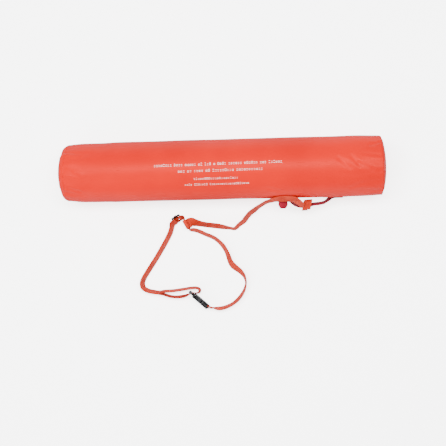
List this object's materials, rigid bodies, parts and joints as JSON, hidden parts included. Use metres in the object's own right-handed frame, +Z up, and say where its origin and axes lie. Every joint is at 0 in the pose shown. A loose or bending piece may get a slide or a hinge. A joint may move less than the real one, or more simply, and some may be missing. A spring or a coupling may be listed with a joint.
{
  "type": "rescue tube",
  "caption": "Inflatable tube-shaped swimmer's rescue and tow float with side grab handle, air valve, short leash and waist belt with side-release buckle.",
  "frame": {"origin": "under the middle of the tube and its grab handle, on the surface it lies on", "axes": "+X along the tube, towards the handle's end; +Y away from the handle and belt; +Z up"},
  "size_m": [0.83, 0.4336, 0.1529],
  "materials": {
    "skin": "glossy coated fabric",
    "handle_webbing": "woven",
    "strap_webbing": "woven",
    "thread": "stitched",
    "valve_plastic": "soft",
    "buckle_plastic": "moulded"
  },
  "bodies": {
    "float": {"tube_skin": "skin", "end_cap_left": "skin", "end_cap_right": "skin", "seam_strip": "skin", "handle_patch_left": "skin", "handle_patch_right": "skin", "handle_tail_left": "handle_webbing", "handle_tail_right": "handle_webbing", "handle_tab": "handle_webbing", "valve_flange": "valve_plastic", "leash_webbing": "strap_webbing", "leash_end_loop": "strap_webbing", "leash_stitching": "thread", "belt_long_run": "strap_webbing", "belt_free_run": "strap_webbing", "belt_sewn_run": "strap_webbing", "buckle_female": "buckle_plastic"},
    "handle": {"handle_grip": "handle_webbing", "leash_hitch": "strap_webbing"},
    "slider": {"tri_glide": "buckle_plastic", "belt_slider_weave": "strap_webbing", "belt_slider_fold": "strap_webbing"},
    "buckle_male": {"buckle_male": "buckle_plastic", "belt_buckle_fold": "strap_webbing", "belt_stitching": "thread"},
    "prong_upper": {"prong_upper": "buckle_plastic"},
    "prong_lower": {"prong_lower": "buckle_plastic"},
    "valve_stem": {"valve_stem": "valve_plastic", "valve_flap": "valve_plastic", "plug_tether": "valve_plastic"},
    "valve_plug": {"valve_plug": "valve_plastic"}
  },
  "joints": [
    {"name": "handle_tilt", "type": "hinge", "parent": "float", "child": "handle", "pos_m": [0.219, -0.0705, 0.047], "axis": [1, 0, 0], "range_deg": [-20, 20], "stiffness_Nm_per_rad": 0.05, "deforming": ["leash_webbing", "leash_stitching"]},
    {"name": "slider_shift", "type": "slide", "parent": "float", "child": "slider", "axis": [-0.6, -0.8, 0], "range_m": [0, 0.03], "deforming": ["belt_long_run", "belt_free_run", "belt_sewn_run"]},
    {"name": "buckle_release", "type": "slide", "parent": "float", "child": "buckle_male", "axis": [0.749, -0.6626, 0], "range_m": [0, 0.03], "deforming": ["belt_long_run", "prong_upper", "prong_lower"]},
    {"name": "prong_upper_press", "type": "hinge", "parent": "buckle_male", "child": "prong_upper", "pos_m": [-0.06201, -0.3223, 0.0265], "axis": [-0.6626, -0.749, 0], "range_deg": [0, 10], "stiffness_Nm_per_rad": 0.1},
    {"name": "prong_lower_press", "type": "hinge", "parent": "buckle_male", "child": "prong_lower", "pos_m": [-0.06201, -0.3223, 0.0073], "axis": [-0.6626, -0.749, 0], "range_deg": [-10, 0], "stiffness_Nm_per_rad": 0.1},
    {"name": "valve_lift", "type": "slide", "parent": "float", "child": "valve_stem", "axis": [0, 0.866, -0.5], "range_m": [0, 0.008]},
    {"name": "plug_pull", "type": "slide", "parent": "valve_stem", "child": "valve_plug", "axis": [0, 0.866, -0.5], "range_m": [0, 0.014], "deforming": ["plug_tether"]}
  ],
  "couplings": [
    {"joint": "prong_lower_press", "follows": "prong_upper_press", "ratio": -1}
  ]
}
